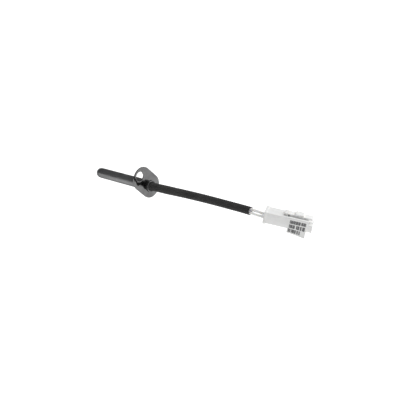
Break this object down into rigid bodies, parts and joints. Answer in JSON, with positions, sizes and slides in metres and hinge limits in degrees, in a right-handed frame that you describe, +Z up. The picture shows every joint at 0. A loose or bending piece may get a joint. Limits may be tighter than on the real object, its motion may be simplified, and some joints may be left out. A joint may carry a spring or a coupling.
{
  "type": "flame sensor probe",
  "caption": "Optical flame sensor: a light cell behind a domed window in a slim steel tube, with an obround screw flange and a short sleeved lead ending in a two-way latching plug.",
  "frame": {"origin": "centre of the probe tube at the flange plate's burner-side face", "axes": "-X along the tube towards the window at its tip, +X towards the lead, +Z up; the flange's ear with the screw hole points 42 degrees above -Y"},
  "size_m": [0.1268, 0.0268, 0.0202],
  "materials": {
    "tube_steel": "polished",
    "plate_steel": "mirror polished",
    "smoked_glass": "polished, smoked",
    "black_seal": "matte",
    "clear_resin": "clear",
    "cell_track": "matte",
    "cell_ceramic": "matte",
    "holder_white": "matte",
    "tinned_wire": "tinned",
    "insulator_ceramic": "matte",
    "tinned_splice": "tinned",
    "splice_tube": "woven glass fibre",
    "potting_black": "cast",
    "sleeve_black": "braided, coated, matte",
    "wire_white": "smooth",
    "copper": "bare copper",
    "housing_white": "moulded, satin",
    "tinned_contact": "tinned",
    "label_paper": "matte"
  },
  "bodies": {
    "probe": {"probe_tube": "tube_steel", "flange_plate": "plate_steel", "window_lens": "smoked_glass", "window_seal": "black_seal", "mouth_seal": "black_seal", "cell_cap": "clear_resin", "cell_track": "cell_track", "cell_disc": "cell_ceramic", "cell_holder": "holder_white", "cell_lead_a": "tinned_wire", "cell_lead_b": "tinned_wire", "insulator": "insulator_ceramic", "splice_a": "tinned_splice", "splice_b": "tinned_splice", "splice_tube_a": "splice_tube", "splice_tube_b": "splice_tube", "potting_plug": "potting_black", "lead_sleeve": "sleeve_black", "wire_a": "wire_white", "wire_b": "wire_white", "core_a": "copper", "core_b": "copper", "connector_housing": "housing_white", "terminal_a": "tinned_contact", "terminal_b": "tinned_contact", "label": "label_paper"},
    "latch": {"latch_lever": "housing_white"}
  },
  "joints": [
    {"name": "latch_flex", "type": "hinge", "parent": "probe", "child": "latch", "pos_m": [0.07683, 0.00743, 0.00186], "axis": [0.3962, -0.9167, -0.0518], "range_deg": [0, 8], "stiffness_Nm_per_rad": 0.15}
  ]
}
